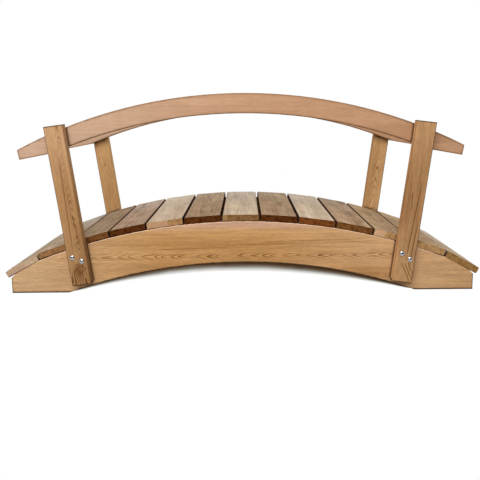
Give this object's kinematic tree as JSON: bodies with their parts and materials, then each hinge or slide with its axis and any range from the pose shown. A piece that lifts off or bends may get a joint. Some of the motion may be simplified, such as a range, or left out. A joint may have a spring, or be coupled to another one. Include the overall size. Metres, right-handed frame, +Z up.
{
  "type": "garden moon bridge",
  "caption": "Arched garden footbridge in cedar: a plank deck on curved stringers, with leaning posts and a curved handrail along each side.",
  "frame": {"origin": "centre of the footprint, on the ground under the middle of the deck", "axes": "+X along the bridge, +Y across it to the far side, +Z up"},
  "size_m": [1.825, 0.609, 0.7586],
  "materials": {
    "stringer_cedar": "sanded, unpainted",
    "deck_cedar": "planed, unpainted",
    "post_cedar": "sanded, unpainted",
    "rail_cedar": "sanded, unpainted",
    "zinc_steel": "zinc plated"
  },
  "bodies": {
    "root": {"near_stringer": "stringer_cedar", "far_stringer": "stringer_cedar", "deck_plank_1": "deck_cedar", "deck_plank_2": "deck_cedar", "deck_plank_3": "deck_cedar", "deck_plank_4": "deck_cedar", "deck_plank_5": "deck_cedar", "deck_plank_6": "deck_cedar", "deck_plank_7": "deck_cedar", "deck_plank_8": "deck_cedar", "deck_plank_9": "deck_cedar", "deck_plank_10": "deck_cedar", "deck_plank_11": "deck_cedar", "deck_plank_12": "deck_cedar", "deck_plank_13": "deck_cedar", "near_left_post": "post_cedar", "near_right_post": "post_cedar", "far_left_post": "post_cedar", "far_right_post": "post_cedar", "near_handrail": "rail_cedar", "far_handrail": "rail_cedar"}
  },
  "joints": []
}
